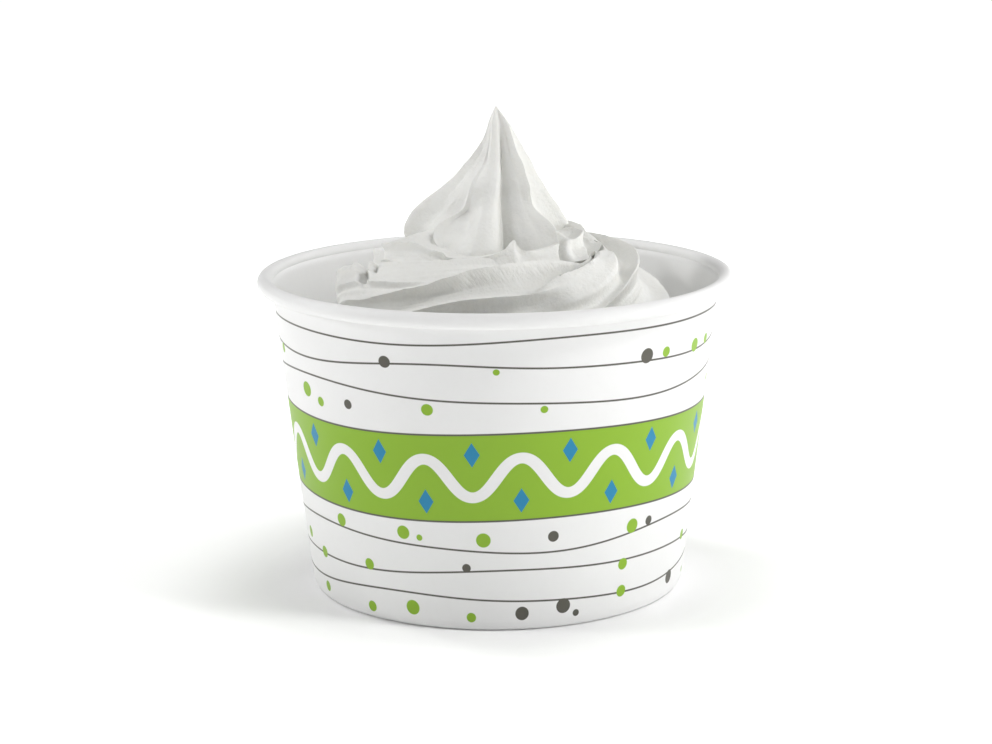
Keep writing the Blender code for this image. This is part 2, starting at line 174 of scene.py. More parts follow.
# ==================================================================== cup
def make_cup_side():
    """The printed blank: folded hem, conical wall and rolled rim, with the
    glued overlap at the back."""
    half = BOARD / 2
    roll_c = RIM_R - 0.02 - ROLL_R
    rr = ROLL_R - half
    fold_mid = FOOT_R - 1.08
    fold_r = 0.78
    line = [(wall_outer(HEM_H) - 1.95, HEM_H)]
    line += [(fold_mid - fold_r + 0.05 + 0.5 * (3.5 / HEM_H), 3.5)]
    line += [(fold_mid + fold_r * math.cos(math.radians(a)),
              1.05 + 0.8 * math.sin(math.radians(a)))
             for a in range(180, 361, 20)]
    low = fine_line(line, 0.22)
    z = np.linspace(1.6, RIM_MID_Z - 1.5, 96)
    wall = np.column_stack((wall_outer(z) - half, z))
    neck = [(wall_outer(RIM_MID_Z - 1.1) - half + 0.03, RIM_MID_Z - 1.1),
            (wall_outer(RIM_MID_Z - 0.7) - half + 0.16, RIM_MID_Z - 0.7),
            (roll_c - rr + 0.04, RIM_MID_Z - 0.28)]
    roll = [(roll_c + rr * math.cos(math.radians(a)),
             RIM_MID_Z + rr * math.sin(math.radians(a)))
            for a in range(180, -157, -9)]
    line = np.concatenate((low, wall, neck, roll))
    ring = sheet_outline(line, BOARD)
    n = len(line)
    az = np.linspace(-180, 180, AROUND, endpoint=False)
    # more points where the overlap steps
    az = np.sort(np.concatenate((az, SEAM + 5.0 + np.array((-0.12, 0.0, 0.12)),
                                 SEAM - 5.0 + np.array((-0.12, 0.0, 0.12)))))
    outer_step = 0.42 * ramp(SEAM - 24, SEAM + 2, az) * (az <= SEAM + 5.0)
    inner_step = 0.40 * ramp(SEAM + 24, SEAM - 2, az) * (az >= SEAM - 5.0)
    pts = np.empty((len(ring), len(az), 3))
    a = np.radians(az)
    wave = 0.035 * (np.sin(3 * a + 0.6) + 0.6 * np.sin(5 * a + 2.1) - 1.6)
    idx = np.arange(len(ring))
    for k, (r, h) in enumerate(ring):
        i = k if k < n else max(0, 2 * n + 1 - k)
        is_out = k < n                      # the side that faces outward
        on_wall = float(ramp(0.5, 4.0, h) * (1 - ramp(RIM_MID_Z - 2.6, RIM_MID_Z - 1.4, h)))
        if i < len(low):
            on_wall = 0.0
        step = outer_step if is_out else -inner_step
        up = ramp(20, RIM_MID_Z, h)
        radius = r + on_wall * step + up * wave * 0.8
        pts[k, :, 0] = radius * np.cos(a)
        pts[k, :, 1] = radius * np.sin(a)
        pts[k, :, 2] = h + up * wave * 0.5
    obj = grid_mesh("paper_side", pts, wrap_rows=True)
    obj.data.shade_smooth()
    obj.data.set_sharp_from_angle(angle=math.radians(48))
    return obj


def make_cup_base():
    """The base: a slightly crowned disc with a pressed ring and a skirt."""
    top = HEM_H + 0.3 + 0.3
    line = [(0.0, top + 0.28), (10, top + 0.27), (20, top + 0.2), (28, top + 0.06),
            (32.6, top), (33.6, top - 0.12), (34.6, top), (36.2, top)]
    r_edge = wall_outer(top) - BOARD - 0.75
    line += [(r_edge - 0.45, top - 0.02), (r_edge - 0.12, top - 0.16),
             (r_edge, top - 0.6), (wall_outer(4.0) - BOARD - 0.77, 4.0),
             (wall_outer(1.75) - BOARD - 0.77, 1.75)]
    mid = fine_line(line, 0.45)
    ring = sheet_outline(mid, 0.5)
    ring[:, 0] = np.maximum(ring[:, 0], 0.02)
    a = np.linspace(0, 2 * math.pi, 216, endpoint=False)
    pts = np.stack([np.stack((r * np.cos(a), r * np.sin(a), np.full_like(a, z)), -1)
                    for r, z in ring])
    obj = grid_mesh("paper_base", pts, wrap_rows=True)
    bm = bmesh.new()
    bm.from_mesh(obj.data)
    bmesh.ops.remove_doubles(bm, verts=[v for v in bm.verts
                                        if math.hypot(v.co.x, v.co.y) < 0.0001],
                             dist=0.00006)
    bmesh.ops.dissolve_degenerate(bm, dist=1e-7, edges=bm.edges)
    bm.to_mesh(obj.data)
    bm.free()
    obj.data.shade_smooth()
    obj.data.set_sharp_from_angle(angle=math.radians(50))
    return obj


# ================================================================== swirl
FLUTE = ((0, 0), (0.03, 0.02), (0.08, 0.13), (0.18, 0.42), (0.40, 0.80),
         (0.70, 0.97), (1.0, 1.0))


def rope(name, knots, heights, depths, start, end, step=1.0, around=248,
         seed=1, angles=None, tops=None, cuts=None, leans=None, extra=None):
    """A cord with the nozzle's ridges, laid round the axis.  knots are
    (azimuth, ring radius, height, cord radius, turn).  angles, tops and cuts
    hold, for a ridge's number, (azimuth, value) knots of its angle, its height
    and the depth of the flute after it; leans says where across that flute it
    is deepest; extra(azimuth, angle, turned angle, sink) adds millimetres,
    where sink is how far the flute lies under its two ridges."""
    first, last = knots[0][0], knots[-1][0]
    az = np.arange(first, last + 0.01, step)
    k = curve(az, knots)
    n = len(POINTS)
    base = np.array(POINTS, float)
    share = [max(10, int(round(around * ((base[(i + 1) % n] - base[i]) % 360) / 360)))
             for i in range(n)]
    which = np.repeat(np.arange(n), share)
    u = np.concatenate([np.linspace(0, 1, s, endpoint=False) for s in share])

    def along(values, table):
        out = np.tile(np.array(values, float), (len(az), 1))
        for ridge, steps in (table or {}).items():
            out[:, ridge] = curve(az, steps)[:, 0]
        return out

    all_p, all_h, all_d = along(base, angles), along(heights, tops), along(depths, cuts)
    all_m = along([0.5] * n, leans)
    total = len(u)
    pts = np.empty((len(az), total, 3))
    cell = np.arange(total) / total * 64
    for row, (a_deg, (ring_r, height, cord_r, turn)) in enumerate(zip(az, k)):
        p, h, d = all_p[row], all_h[row], all_d[row]
        nxt = np.roll(p, -1)
        nxt[-1] += 360
        d = d * ramp(-6, 30, nxt - p)
        mid = all_m[row][which]
        w = np.where(u < mid, u / mid, (1 - u) / (1 - mid))
        g = curve(w, FLUTE)[:, 0]
        h2 = np.roll(h, -1)
        ang = p[which] * (1 - u) + nxt[which] * u
        top = h[which] * (1 - u) + h2[which] * u
        s = top * (1 - d[which] * g)
        near = min((a_deg - first) / start, (last - a_deg) / end, 1.0)
        taper = max(math.sqrt(max(0.0, 1 - (1 - near) ** 2)), 0.03)
        # streaks drawn out along the cord, and slightly ragged crests
        long_ = noise2(cell, np.full(total, a_deg / 26.0), seed, 64)
        fine = noise2(cell * 3, np.full(total, a_deg / 11.0), seed + 1, 192)
        crest = (1 - w) ** 6 * noise2(which + 0.5, np.full(total, a_deg / 4.0), seed + 2)
        crest2 = (1 - w) ** 8 * noise2(which + 0.5, np.full(total, a_deg / 1.7), seed + 3)
        rel = 0.14 * long_ + 0.05 * fine + 0.17 * crest + 0.10 * crest2
        theta = (ang + turn + 180) % 360 - 180
        if extra is not None:
            rel = rel + extra(a_deg, ang, theta, cord_r * top * d[which] * g)
        r = cord_r * taper * s + rel * taper
        t = np.radians(theta)
        a = math.radians(a_deg)
        outward = ring_r + r * np.cos(t)
        pts[row, :, 0] = outward * math.cos(a)
        pts[row, :, 1] = outward * math.sin(a)
        pts[row, :, 2] = height + r * np.sin(t)
    return grid_mesh(name, pts, cap=True)


# The peak: heights, then for each crest its azimuth and its radius there.
LEVELS = (99.2, 96, 93, 90, 88, 86.5, 85, 83.5, 81.5, 80, 79, 78, 77.3, 76,
          74.5, 73, 71, 69, 66)
CRESTS = (
    (-131, (0, 1.8, 2.6, 3.5, 4.4, 5.8, 7.4, 8.4, 8.8, 8.9, 9.1, 10.0,
            11.4, 14.3, 16.1, 17.0, 16.7, 15.2, 12)),
    (-47, (0, 3.2, 4.4, 5.7, 7.2, 8.0, 8.7, 9.3, 9.6, 9.9, 10.8, 12.6,
           14.2, 16.3, 17.1, 17.2, 16.4, 14.5, 11)),
    (8, (0, 2.3, 3.9, 5.5, 6.7, 7.5, 8.2, 9.0, 10.2, 11.2, 11.9, 12.6,
         13.0, 13.8, 14.6, 14.6, 13.6, 12, 10)),
    (62, (0, 2.2, 3.8, 5.4, 6.4, 7.2, 8.0, 8.9, 10.0, 11.0, 11.8, 12.8,
          13.4, 14.8, 15.5, 15.4, 14.4, 12.5, 11)),
    (118, (0, 2.0, 3.4, 5.2, 6.4, 7.3, 8.4, 9.6, 11.0, 12.2, 13.2, 14.2,
           14.8, 15.8, 16.8, 17.0, 15.8, 13.5, 11)),
    (176, (0, 1.5, 2.7, 4.5, 6.2, 7.4, 8.7, 10.3, 13.0, 15.0, 16.2, 17.3,
           17.9, 18.8, 19.5, 19.6, 18.2, 15, 12)),
)
PEAK_DEPTH = (0.50, 0.40, 0.40, 0.40, 0.42, 0.24)
PEAK_MID = (0.8, -0.5)
# how the first crest swings round to the left as it runs down: height, azimuth
CREST_TURN = ((66, -131), (70, -131), (71.3, -134), (72.8, -138), (74.2, -143),
              (75.4, -147), (76.4, -149), (77.3, -148), (78, -144.5), (79, -140),
              (80, -137), (81.5, -133.5), (83.5, -131.5), (85, -131), (99.2, -131))


# the front flute: heights, the radius of its full roll there, how far the
# face drops behind the left lip, how much it is dished between that lip and
# the roll, and how far the crease shifts
FRONT_LEVELS = (99.2, 96, 93, 90, 88, 86.5, 85, 83.5, 81.5, 80, 78, 76, 74.5,
                73, 71, 69, 66)
FRONT_ROLL = (0, 2.2, 3.0, 4.0, 4.8, 5.8, 6.9, 7.7, 8.3, 9.0, 10.6, 12.6,
              14.1, 15.4, 16.7, 16.9, 14.5)
FRONT_LIP = (0, 0.16, 0.32, 0.44, 0.50, 0.50, 0.48, 0.46, 0.44, 0.46, 1.0, 2.0,
             2.0, 1.3, 0.7, 0.3, 0)
FRONT_DISH = (0, 0, 0, 0, 0, 0, 0, 0, 0.05, 0.2, 1.0, 2.5,
              2.7, 1.5, 0.4, 0, 0)
FRONT_SHIFT = (0.16, 0.15, 0.13, 0.11, 0.09, 0.08, 0.07, 0.05, 0.03, 0.01, 0, 0,
               0, 0, 0, 0, 0)
ROLL_AT = -110.0


def front_face(azimuth, z, edge, left_at):
    """Radius across the front flute: a thin lip, a dished flank, a broad roll,
    and one tight crease from which the other side rises slowly."""
    knots = sorted(zip(FRONT_LEVELS, FRONT_ROLL, FRONT_LIP, FRONT_DISH, FRONT_SHIFT))
    roll, drop, dish, shift = curve(z, knots)[0]
    low = float(ramp(82, 74, z))
    tip = float(ramp(90, 97, z))
    u = np.clip((azimuth + 131) / 84, 0, 1)
    u = u - shift * np.sin(math.pi * u)
    part = curve(u, ((0, 1.0), (0.25, 1.0), (0.355, 0.965), (0.43, 0.90),
                     (0.475, 0.79 + 0.04 * low + 0.07 * tip), (0.51, 0.65 + 0.05 * low + 0.14 * tip),
                     (0.538, 0.555 + 0.22 * tip), (0.556, 0.54 + 0.23 * tip),
                     (0.62, 0.61 + 0.15 * tip),
                     (0.72, 0.78), (0.84, 0.92), (0.93, 0.99), (1, 1.02)))[:, 0]
    right = roll * part - 0.9 * low * bump(u, 0.80, 0.14)
    right = np.where(u > 0.6, np.minimum(right, edge * 0.985), right)
    t = np.clip((azimuth - left_at) / (ROLL_AT - left_at), 0, 1)
    start = edge[0] - drop
    left = start + (roll - start) * t * t * (3 - 2 * t) - dish * np.sin(math.pi * t)
    inner = np.where(azimuth < ROLL_AT, left, right)
    lip = (np.clip(1 - (azimuth - left_at) * edge[0] / 38, 0, 1) ** 1.4
           + np.clip(1 - (-47 - azimuth) / 8.4, 0, 1) ** 1.5)
    return edge * lip + inner * (1 - lip)


def make_peak():
    around = 420
    az = np.array([c[0] for c in CRESTS], float)
    nxt = np.append(az[1:], az[0] + 360)
    share = [int(round(around * (b - a) / 360)) for a, b in zip(az, nxt)]
    share[0] = int(share[0] * 1.5)
    which = np.repeat(np.arange(len(az)), share)
    u = np.concatenate([np.linspace(0, 1, s, endpoint=False) for s in share])
    knots = [[lev] + [c[1][i] for c in CRESTS] for i, lev in enumerate(LEVELS)][::-1]
    rows = []
    total = len(u)
    cell = np.arange(total) / total * 64
    for z in np.concatenate((np.arange(66, 80, 0.3), np.arange(80, TIP_Z, 0.35), [TIP_Z])):
        left_at = float(curve(z, CREST_TURN)[0, 0])
        az[0], nxt[-1] = left_at, left_at + 360
        theta = az[which] * (1 - u) + nxt[which] * u
        a = np.radians(theta)
        crest = curve(z, knots)[0]
        nx = np.roll(crest, -1)
        edge = crest[which] * (1 - u) + nx[which] * u
        w = 1 - np.abs(2 * u - 1)
        g = curve(w, FLUTE)[:, 0]
        r = edge * (1 - np.array(PEAK_DEPTH)[which] * g)
        r = np.where(which == 0, front_face(theta, z, edge, left_at), r)
        long_ = noise2(cell, np.full(total, z / 7.0), 41, 64)
        fine = noise2(cell * 3, np.full(total, z / 3.0), 42, 192)
        crest_n = (1 - w) ** 7 * noise2(which + 0.5, np.full(total, z / 1.3), 43)
        crest_n = crest_n * np.where((which == 5) & (u > 0.5) | (which == 0) & (u < 0.5), 0.2, 1)
        fade = float(ramp(TIP_Z, TIP_Z - 12, z))
        soft = np.where((which == 0) | (which == 5) & (u > 0.45), 0.2, 1.0)
        r = r + fade * (soft * (0.10 * long_ + 0.03 * fine) + 0.14 * crest_n)
        r = np.maximum(r, 0.12)
        lean = 0.4 * float(ramp(91, 99, z))
        rows.append(np.stack((PEAK_MID[0] - lean + r * np.cos(a),
                              PEAK_MID[1] + r * np.sin(a),
                              np.full(total, z)), -1))
    return grid_mesh("peak", np.array(rows), cap=True)


COIL_MID = ((-235, 18.0, 60.0, 11.5, -115), (-200, 21.1, 59.7, 12.4, -77),
            (-175, 21.6, 58.8, 12.6, -41), (-140, 21.8, 58.2, 12.6, -5),
            (-90, 22.2, 59.1, 12.6, 28), (-50, 22.4, 58.2, 12.6, 50),
            (-20, 23.3, 58.2, 12.6, 84), (10, 23.2, 58.2, 12.6, 99),
            (40, 22.0, 58.4, 12.6, 120), (80, 19.5, 59.5, 12.6, 160),
            (118, 17.0, 60.0, 12.4, 200))
# how its ridges wander
MID_ANGLES = {
    1: ((-75, -29), (-53, -30), (-46, -27.6), (-34, -27), (-26, -29),
        (-18, -30.6), (10, -29)),
    2: ((-140, 6), (-121, 6.9), (-108, 7.3), (-102, 7), (-92, 3.7), (-81.5, 0),
        (-76, -0.2), (-70.5, 1.2), (-64.6, 3.5), (-58.5, 8.2), (-51, 12.8),
        (-45, 13.2), (-39, 13.2), (-19, 5), (10, 6)),
    3: ((-180, 35), (-157, 35.6), (-142, 30), (-131, 31), (-116, 33),
        (-104, 36.8), (-100, 40.2), (-88, 41.3), (-74, 44.3), (-65, 42.4),
        (-52, 32), (-45, 23.5), (-9, 21), (30, 33)),
    4: ((-200, 78), (-177, 79), (-144, 74.7), (-128, 77), (-113, 76), (-90, 78)),
}
MID_TOPS = {
    3: ((-200, 0.84), (-175, 0.85), (-158, 0.93), (-145, 0.99), (-60, 0.99),
        (-45, 0.93), (0, 0.96), (40, 1)),
    4: ((-200, 1), (-150, 1), (-135, 0.99), (-120, 0.97), (-100, 0.97), (-80, 0.93),
        (-50, 0.93), (0, 0.97), (40, 1)),
    5: ((-220, 0.86), (-175, 0.80), (-150, 0.82), (-110, 0.95)),
}
MID_CUTS = {
    1: ((-120, 0.20), (-90, 0.22), (-60, 0.25), (-30, 0.30), (0, 0.34)),
    2: ((-180, 0.16), (-150, 0.20), (-125, 0.27), (-100, 0.29), (-85, 0.30),
        (-70, 0.36), (-60, 0.42), (-45, 0.60), (-36, 0.32), (0, 0.26)),
    3: ((-200, 0.0), (-165, 0.02), (-140, 0.04), (-128, 0.08), (-90, 0.16), (0, 0.30)),
}
MID_LEANS = {
    2: ((-180, 0.55), (-150, 0.62), (-110, 0.70), (-92, 0.60), (-80, 0.42),
        (-68, 0.25), (-56, 0.14), (-42, 0.14), (-20, 0.35), (10, 0.5)),
}
COIL_TOP = ((-215, 14.0, 61.5, 9.2, 20), (-180, 15.0, 62.4, 9.8, 24),
            (-150, 14.2, 64.6, 10.0, 20), (-120, 12.9, 65.3, 9.7, 4),
            (-90, 12.6, 65.6, 9.6, 8), (-60, 12.9, 65.7, 9.6, 15),
            (-30, 13.7, 64.9, 10.0, 22), (0, 14.2, 64.2, 10.2, 50),
            (40, 13.9, 64.4, 10.1, 90), (100, 12.8, 64.5, 10.0, 150),
            (170, 12.0, 63.5, 10.0, 220), (235, 10.0, 61.5, 9.0, 290))
# the collar's edge, as full angles: it makes a flap at the front
COLLAR = ((-215, 45), (-180, 45), (-165, 47), (-149, 53), (-135, 51), (-123, 45),
          (-118, 38), (-101, 39), (-90, 43), (-84, 48), (-78, 56), (-75.5, 50),
          (-72, 45.5), (-60, 46), (-48, 51), (-30, 55), (0, 83))
COLLAR_TOP = ((-215, 1.15), (-180, 1.2), (-165, 1.14), (-149, 1.03), (-135, 0.96),
              (-120, 0.92), (-100, 0.90), (-90, 0.93), (-84, 0.98), (-78.2, 1.07),
              (-76, 0.99), (-74, 0.94), (-64, 0.91), (-56, 0.92), (-48, 0.98),
              (-35, 1.03), (-20, 1.0), (20, 1.0))
TOP_TOPS = {
    3: COLLAR_TOP,
    4: ((-215, 1.0), (-190, 1.1), (-165, 1.12), (-150, 0.98), (-135, 0.78),
        (-120, 0.62), (-100, 0.55), (-70, 0.5), (-52, 0.5), (-44, 0.8),
        (-36, 1.0), (0, 1.0)),
}
TOP_CUTS = {
    2: ((-200, 0.20), (-150, 0.14), (-120, 0.10), (-60, 0.10), (-20, 0.20), (20, 0.30)),
    3: ((-200, 0.10), (-150, 0.10), (-120, 0.10), (-60, 0.10), (-40, 0.10), (-10, 0.10), (20, 0.30)),
}
COIL_LOW = ((-250, 28.0, 40.0, 13.5, -170), (-120, 29.5, 41.0, 13.5, -20),
            (0, 30.0, 42.0, 13.5, 90), (120, 28.5, 44.5, 13.0, 200))
CORE = ((20, 36), (20, 58), (13, 66), (8, 70))
HEIGHTS = (1, 1, 1.02, 1, 1, 1, 1, 1)
DEPTHS = (0.36, 0.34, 0.28, 0.30, 0.32, 0.30, 0.30, 0.30)


def mid_extra(a_deg, ang, theta, sink):
    """Marks on the wide coil: a second ridge at the right front, a crease at
    the left front, and the torn start of the coil at the left."""
    out = np.zeros_like(ang)
    here = float(ramp(-78, -62, a_deg) * (1 - ramp(-26, -12, a_deg)))
    if here:
        line = float(curve(a_deg, ((-78, -16), (-50, -13.5), (-37, -12), (-30, -7), (-18, 2)))[0, 0])
        full = (ang >= line - 16) & (ang < 16)
        out += here * sink * full * np.clip(1 - (line - ang) / 14, 0, 1) ** 1.25
    here = float(ramp(-178, -165, a_deg) * (1 - ramp(-120, -108, a_deg)))
    if here:
        line = float(curve(a_deg, ((-178, 56), (-148, 50.8), (-138, 46.4), (-128, 41.8),
                                   (-119, 38), (-108, 35.5)))[0, 0])
        off = ang - line
        out += here * (0.45 * bump(off, 0.8, 3.0) - 0.45 * bump(off, -4.5, 4.5))
    if a_deg < -130:
        # two clefts with a curl between them
        for (a0, t0, a1, t1, deep, wide) in ((-158.0, 79, -147.5, 50, -3.2, 3.6),
                                             (-149.3, 75, -145.8, 62, -2.0, 2.2),
                                             (-153.4, 79, -144.5, 56, 0.8, 2.0),
                                             (-163.5, 81, -157.0, 66, 0.5, 3.0)):
            s = (ang - t0) / (t1 - t0)
            line = a0 + (a1 - a0) * s
            out += deep * bump(s, 0.5, 0.80) * np.minimum(1.0, 1.5 * bump(a_deg - line, 0, wide))
    return out


def top_extra(a_deg, ang, theta, sink):
    """Folds across the hump at the right end of the narrow coil."""
    if not -62 < a_deg < 25:
        return 0.0
    t = theta
    on = ramp(14, 26, t) * (1 - ramp(74, 100, t))
    line_a = curve(t, ((20, -41), (30, -34), (40, -30), (52, -27), (67, -21), (90, -8)))[:, 0]
    line_b = curve(t, ((20, -24), (42, -15), (49, -12), (58, -4), (90, 14)))[:, 0]
    line_c = curve(t, ((20, -50), (31, -49), (40, -48), (50, -46), (90, -38)))[:, 0]
    # distance along the cord in millimetres, from each line
    k = 0.30
    a, b, c = (a_deg - line_a) * k, (a_deg - line_b) * k, (a_deg - line_c) * k
    out = -1.9 * bump(c, 0.1, 0.75) * (1 - ramp(50, 66, t))
    out += 0.45 * bump(c, 1.4, 1.2)
    rise = np.where(a < 0, np.clip(1 + a / 4.2, 0, 1) ** 1.6, np.clip(1 - a / 0.9, 0, 1) ** 1.3)
    out += 1.25 * rise
    out -= 0.9 * bump(a, 1.7, 1.5)
    rise = np.where(b < 0, np.clip(1 + b / 1.8, 0, 1) ** 1.4, np.clip(1 - b / 0.8, 0, 1) ** 1.3)
    out += 0.85 * rise
    out -= 0.8 * bump(b, 1.6, 1.4)
    return out * on


def make_yogurt():
    ring = np.linspace(0, 2 * math.pi, 144, endpoint=False)

    def turned(name, steps):
        return grid_mesh(name, np.array([np.stack(
            (r * np.cos(ring), r * np.sin(ring), np.full_like(ring, z)), -1)
            for r, z in steps]), cap=True)

    inside = [(wall_outer(z) - BOARD - WALL_GAP, z)
              for z in np.linspace(FLOOR_Z + 0.2, FILL_Z, 14)]
    body = make_peak()
    # the collar's edge, measured from the cord's own turn
    collar = [(a, t - float(curve(a, COIL_TOP)[0][3])) for a, t in COLLAR]
    parts = [
        turned("fill", inside),
        turned("core", CORE),
        rope("coil_low", COIL_LOW, [1] * 8, [0.22] * 8, 30, 40, step=1.5,
             around=160, seed=11),
        rope("coil_mid", COIL_MID, HEIGHTS, DEPTHS, 25, 30, step=0.8, around=288,
             seed=21, angles=MID_ANGLES, tops=MID_TOPS, cuts=MID_CUTS,
             leans=MID_LEANS,
             extra=mid_extra),
        rope("coil_top", COIL_TOP, HEIGHTS, DEPTHS, 20, 40, step=0.9, around=288,
             seed=31, angles={3: collar}, tops=TOP_TOPS, cuts=TOP_CUTS,
             extra=top_extra),
    ]
    for part in parts:
        mod = body.modifiers.new(part.name, "BOOLEAN")
        mod.operation = "UNION"
        mod.solver = "MANIFOLD"
        mod.object = part
    view = bpy.context.evaluated_depsgraph_get()
    mesh = bpy.data.meshes.new_from_object(body.evaluated_get(view))
    body.modifiers.clear()
    body.data = mesh
    for part in parts:
        bpy.data.objects.remove(part)
    keep_outer_shell(mesh)
    # where it meets the wall, the yogurt lies flat against it
    co = np.empty(len(mesh.vertices) * 3)
    mesh.vertices.foreach_get("co", co)
    co = co.reshape(-1, 3) / MM
    r = np.hypot(co[:, 0], co[:, 1])
    most = wall_outer(co[:, 2]) - BOARD - WALL_GAP
    k = np.where((co[:, 2] < RIM_MID_Z) & (r > most), most / np.maximum(r, 1e-6), 1.0)
    co[:, :2] *= k[:, None]
    mesh.vertices.foreach_set("co", (co * MM).ravel())
    mesh.update()
    body.name = "soft_serve"
    mesh.name = "soft_serve"
    mesh.shade_smooth()
    mesh.set_sharp_from_angle(angle=math.radians(60))
    return body


def keep_outer_shell(mesh):
    """Drop closed shells that lie wholly inside the body."""
    bm = bmesh.new()
    bm.from_mesh(mesh)
    bm.verts.ensure_lookup_table()
    left = set(range(len(bm.verts)))
    shells = []
    while left:
        todo = [left.pop()]
        shell = list(todo)
        while todo:
            v = bm.verts[todo.pop()]
            for e in v.link_edges:
                o = e.other_vert(v).index
                if o in left:
                    left.discard(o)
                    shell.append(o)
                    todo.append(o)
        shells.append(shell)
    shells.sort(key=len)
    drop = [bm.verts[i] for s in shells[:-1] for i in s]
    if drop:
        bmesh.ops.delete(bm, geom=drop, context="VERTS")
    bm.to_mesh(mesh)
    bm.free()


# ============================================================== materials
class Nodes:
    """Builds a material's node tree."""

    def __init__(self, name):
        self.mat = bpy.data.materials.new(name)
        self.mat.use_nodes = True
        self.tree = self.mat.node_tree
        self.bsdf = self.tree.nodes["Principled BSDF"]

    def add(self, kind, **props):
        node = self.tree.nodes.new(kind)
        for key, value in props.items():
            setattr(node, key, value)
        return node

    def put(self, socket, value):
        if isinstance(value, bpy.types.NodeSocket):
            self.tree.links.new(value, socket)
        else:
            socket.default_value = value

    def math(self, op, a, b=0.0, c=0.0, clamp=False):
        node = self.add("ShaderNodeMath", operation=op, use_clamp=clamp)
        for socket, value in zip(node.inputs, (a, b, c)):
            self.put(socket, value)
        return node.outputs[0]

    def step(self, value, low, high):
        """0 below low, 1 above high."""
        node = self.add("ShaderNodeMapRange", clamp=True)
        self.put(node.inputs["Value"], value)
        self.put(node.inputs["From Min"], low)
        self.put(node.inputs["From Max"], high)
        return node.outputs["Result"]

    def mix(self, factor, a, b):
        node = self.add("ShaderNodeMix", data_type="RGBA")
        self.put(node.inputs[0], factor)
        self.put(node.inputs[6], a)
        self.put(node.inputs[7], b)
        return node.outputs[2]

    def noise(self, vector, scale, detail=4.0, rough=0.5):
        node = self.add("ShaderNodeTexNoise")
        self.put(node.inputs["Vector"], vector)
        node.inputs["Scale"].default_value = scale
        node.inputs["Detail"].default_value = detail
        node.inputs["Roughness"].default_value = rough
        return node.outputs["Fac"]

    def bump(self, height, strength, distance, normal=None):
        node = self.add("ShaderNodeBump")
        node.inputs["Strength"].default_value = strength
        node.inputs["Distance"].default_value = distance
        self.put(node.inputs["Height"], height)
        if normal is not None:
            self.put(node.inputs["Normal"], normal)
        return node.outputs["Normal"]


def paper_material(name, colour, printed):
    n = Nodes(name)
    coords = n.add("ShaderNodeTexCoord").outputs["Object"]
    fibres = n.noise(coords, 900.0, 6.0, 0.62)
    mottle = n.noise(coords, 120.0, 3.0, 0.5)
    cloud = n.noise(coords, 28.0, 2.0, 0.5)
    tone = n.step(mottle, 0.25, 0.75)
    white = n.mix(tone, (*[c * 0.985 for c in colour], 1), (*colour, 1))
    white = n.mix(n.math("MULTIPLY", n.step(fibres, 0.52, 0.80), 0.10), white,
                  (0.72, 0.70, 0.67, 1))
    base = white
    ink = None
    if printed:
        base, ink = wall_print(n, coords, white, mottle)
    n.put(n.bsdf.inputs["Base Color"], base)
    rough = n.math("ADD", 0.40, n.math("MULTIPLY", cloud, 0.14))
    if ink is not None:
        rough = n.math("SUBTRACT", rough, n.math("MULTIPLY", ink, 0.06))
    n.put(n.bsdf.inputs["Roughness"], rough)
    n.bsdf.inputs["Specular IOR Level"].default_value = 0.38
    n.bsdf.inputs["IOR"].default_value = 1.48
    height = n.math("ADD", n.math("MULTIPLY", fibres, 0.6), n.math("MULTIPLY", cloud, 0.8))
    n.put(n.bsdf.inputs["Normal"], n.bump(height, 0.16, 0.00012))
    return n.mat


